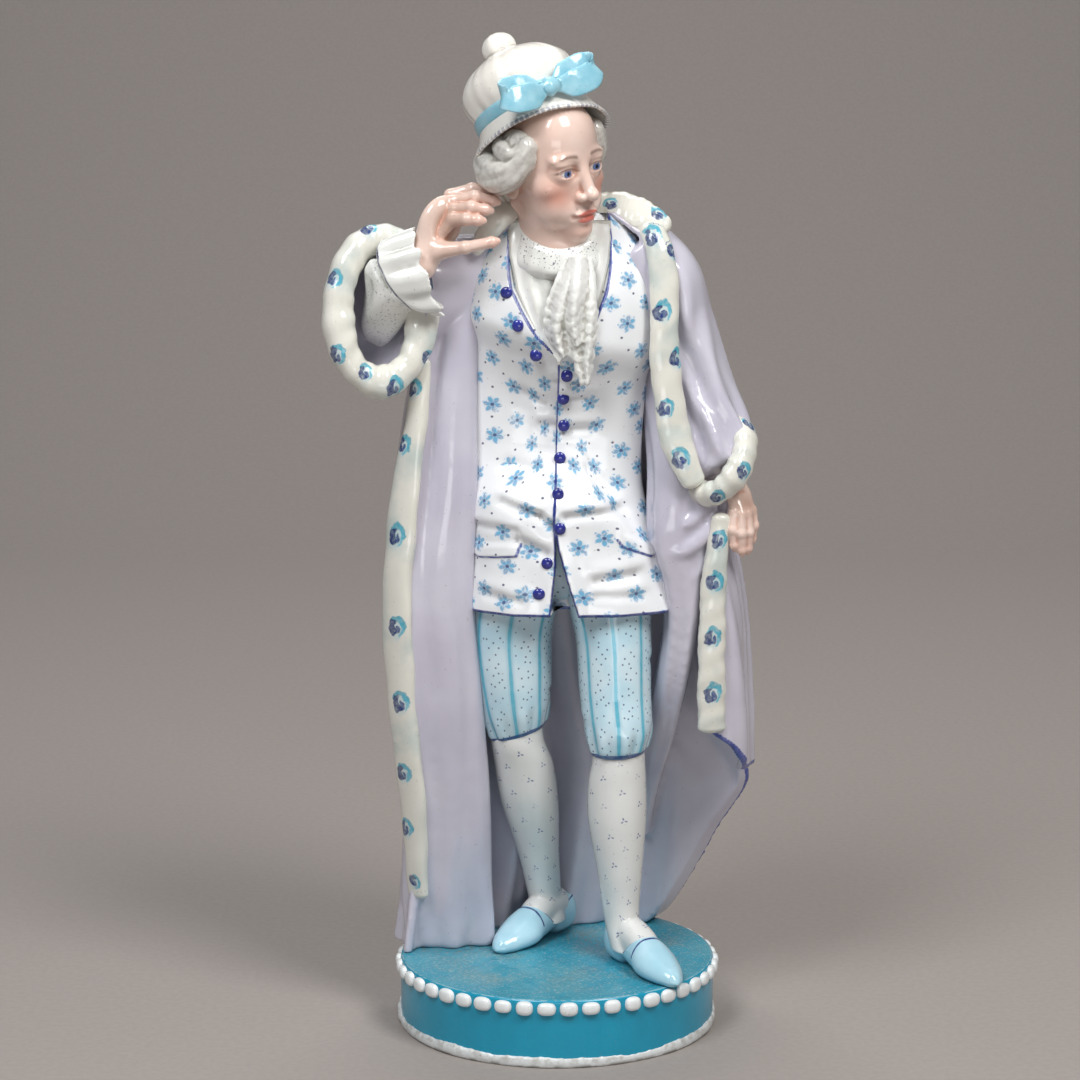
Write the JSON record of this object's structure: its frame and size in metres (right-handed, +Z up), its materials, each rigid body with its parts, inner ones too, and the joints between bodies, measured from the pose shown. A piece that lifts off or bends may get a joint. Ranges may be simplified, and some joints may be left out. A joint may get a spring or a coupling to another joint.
{
  "type": "porcelain gentleman figurine",
  "caption": "Standing gentleman in nightcap and long dressing gown, one hand cupped to his ear, on a round beaded plinth; one-piece painted porcelain.",
  "frame": {"origin": "centre of the plinth's underside, where it stands", "axes": "+Z up along the figure, -Y towards the figure's front, +X towards the figure's left hand"},
  "size_m": [0.1528, 0.1182, 0.357],
  "materials": {
    "glaze": "clear gloss glaze over white porcelain",
    "plinth": "turquoise enamel, matt and speckled on top, with white glazed beads",
    "gown": "pale lavender grey glaze",
    "facing": "cream white glaze with navy and turquoise swirls",
    "waistcoat": "white glaze with blue sprigs, dots and navy piping",
    "breeches": "pale blue glaze with turquoise stripes and dark dots",
    "stockings": "white glaze with small grey-blue sprigs",
    "slippers": "pale blue glaze with a navy line",
    "cap": "off-white glaze, brim flecked grey",
    "ribbon": "light blue glaze",
    "hair": "grey-white glaze with darker strokes",
    "skin": "pale flesh enamel, rosier on the cheeks",
    "linen": "white glaze, rough lace and fine grey dots",
    "buttons": "dark navy enamel"
  },
  "bodies": {
    "root": {"figurine": "glaze"}
  },
  "joints": []
}
